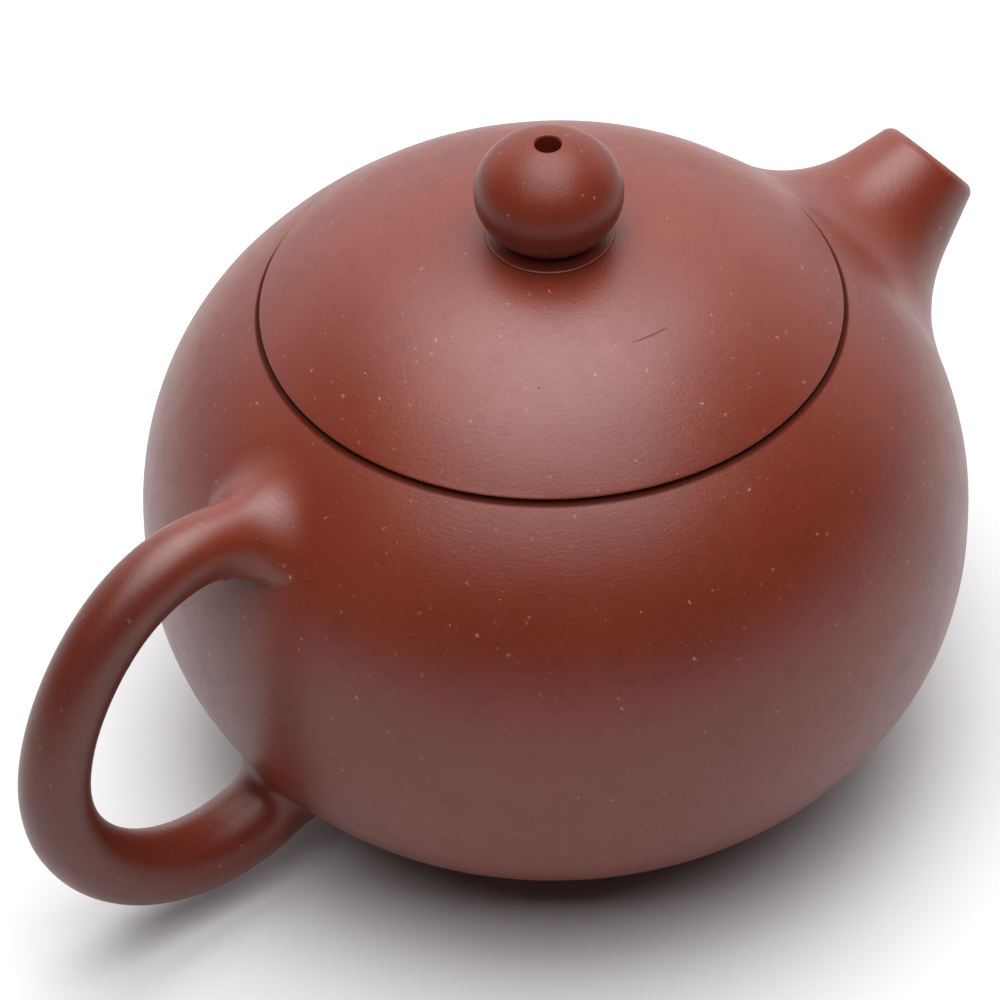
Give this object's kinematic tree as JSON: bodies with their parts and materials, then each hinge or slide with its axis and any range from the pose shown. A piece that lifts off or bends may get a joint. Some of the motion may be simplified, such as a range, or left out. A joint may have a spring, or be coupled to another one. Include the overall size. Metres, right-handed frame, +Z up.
{
  "type": "yixing clay teapot",
  "caption": "Small round unglazed clay teapot with a short flared spout, an ear-shaped handle and a lift-off domed lid with a ball knob, for brewing and pouring tea.",
  "frame": {"origin": "centre of the foot ring's underside, on the pot's vertical axis", "axes": "+Z up along the pot's axis, +X towards the spout, -X towards the handle"},
  "size_m": [0.125, 0.088, 0.078],
  "materials": {
    "red_clay": "unglazed, burnished to a low sheen",
    "lid_clay": "unglazed, burnished to a low sheen"
  },
  "bodies": {
    "pot": {"body_wall": "red_clay", "top_disc": "red_clay", "mouth_ring": "red_clay", "base_disc": "red_clay", "foot_ring": "red_clay", "spout": "red_clay", "spout_strainer": "red_clay", "handle": "red_clay"},
    "lid_base": {"lid_seat": "lid_clay", "lid_flange": "lid_clay"},
    "lid_cap": {"lid_dome": "lid_clay", "knob_collar": "lid_clay", "lid_knob": "lid_clay"}
  },
  "joints": [
    {"name": "lid_lift", "type": "slide", "parent": "pot", "child": "lid_base", "axis": [0, 0, 1], "range_m": [0, 0.03]},
    {"name": "lid_turn", "type": "hinge", "parent": "lid_base", "child": "lid_cap", "pos_m": [0, 0, 0.0575], "axis": [0, 0, 1], "continuous": true}
  ]
}
